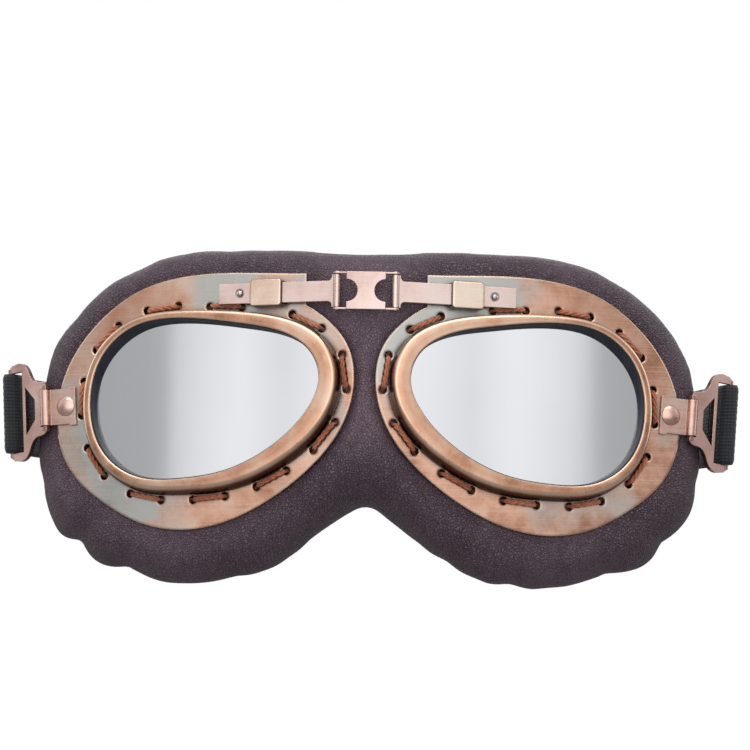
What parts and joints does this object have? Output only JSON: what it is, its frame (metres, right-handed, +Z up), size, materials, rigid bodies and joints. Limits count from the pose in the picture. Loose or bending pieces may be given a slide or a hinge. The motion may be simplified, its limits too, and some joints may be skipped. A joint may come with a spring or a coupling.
{
  "type": "motorcycle goggles",
  "caption": "Retro motorcycle goggles: two wrapped mirror-lens eyecups laced to a padded leather mask, folding at a sliding nose bridge, on an elastic head strap.",
  "frame": {"origin": "middle of the brow contact, on the back face of the mask", "axes": "+Z up, lenses face -Y, +X towards the wearer's left"},
  "size_m": [0.2322, 0.2175, 0.1018],
  "materials": {
    "copper": "antique copper, brushed",
    "patina_copper": "antique copper with grey-green patina, brushed",
    "mirror_lens": "silver mirror coating",
    "gasket_rubber": "satin",
    "steel": "polished",
    "lace_cord": "waxed cord",
    "leather": "pebbled, satin",
    "foam": "open-cell foam",
    "lining": "short-pile velour",
    "elastic": "woven elastic"
  },
  "bodies": {
    "nose_bridge": {"bridge_link": "copper", "hinge_pin_left": "copper", "hinge_pin_right": "copper", "mask_cover_nose": "leather", "mask_foam_nose": "foam", "mask_lining_nose": "lining", "strap_band": "elastic", "strap_return": "elastic"},
    "left_arm": {"bridge_arm_left": "copper", "arm_stop_ball_left": "steel"},
    "left_cup": {"frame_plate_left": "patina_copper", "lens_rim_left": "copper", "lens_left": "mirror_lens", "lens_gasket_left": "gasket_rubber", "keeper_left": "copper", "lacing_left": "lace_cord", "strap_tab_left": "copper", "tab_rivet_left": "copper", "mask_cover_left": "leather", "mask_foam_left": "foam", "mask_lining_left": "lining"},
    "left_buckle": {"buckle_left": "copper", "strap_loop_left": "elastic"},
    "right_arm": {"bridge_arm_right": "copper", "arm_stop_ball_right": "steel"},
    "right_cup": {"frame_plate_right": "patina_copper", "lens_rim_right": "copper", "lens_right": "mirror_lens", "lens_gasket_right": "gasket_rubber", "keeper_right": "copper", "lacing_right": "lace_cord", "strap_tab_right": "copper", "tab_rivet_right": "copper", "mask_cover_right": "leather", "mask_foam_right": "foam", "mask_lining_right": "lining"},
    "right_buckle": {"buckle_right": "copper", "strap_loop_right": "elastic"},
    "adjuster": {"strap_adjuster": "copper"}
  },
  "joints": [
    {"name": "left_arm_hinge", "type": "hinge", "parent": "nose_bridge", "child": "left_arm", "pos_m": [0.0087, -0.02385, 0.025], "axis": [0, 0, 1], "range_deg": [-12, 15], "deforming": ["mask_cover_left", "mask_foam_left", "mask_lining_left", "mask_cover_nose", "mask_foam_nose", "mask_lining_nose", "strap_band", "strap_return"]},
    {"name": "left_cup_slide", "type": "slide", "parent": "left_arm", "child": "left_cup", "axis": [0.9563, 0.2924, 0], "range_m": [-0.0022, 0.0023]},
    {"name": "left_buckle_hinge", "type": "hinge", "parent": "left_cup", "child": "left_buckle", "pos_m": [0.09989, 0.0056, -0.00871], "axis": [0.0667, 0.0204, 0.9976], "range_deg": [-30, 8], "deforming": ["strap_loop_left"]},
    {"name": "right_arm_hinge", "type": "hinge", "parent": "nose_bridge", "child": "right_arm", "pos_m": [-0.0087, -0.02385, 0.025], "axis": [0, 0, -1], "range_deg": [-12, 15], "deforming": ["mask_cover_right", "mask_foam_right", "mask_lining_right"]},
    {"name": "right_cup_slide", "type": "slide", "parent": "right_arm", "child": "right_cup", "axis": [-0.9563, 0.2924, 0], "range_m": [-0.0022, 0.0023]},
    {"name": "right_buckle_hinge", "type": "hinge", "parent": "right_cup", "child": "right_buckle", "pos_m": [-0.09989, 0.0056, -0.00871], "axis": [0.0667, -0.0204, -0.9976], "range_deg": [-30, 8], "deforming": ["strap_loop_right"]},
    {"name": "adjuster_slide", "type": "slide", "parent": "nose_bridge", "child": "adjuster", "axis": [-0.3574, 0.934, 0], "range_m": [-0.012, 0.01]}
  ]
}
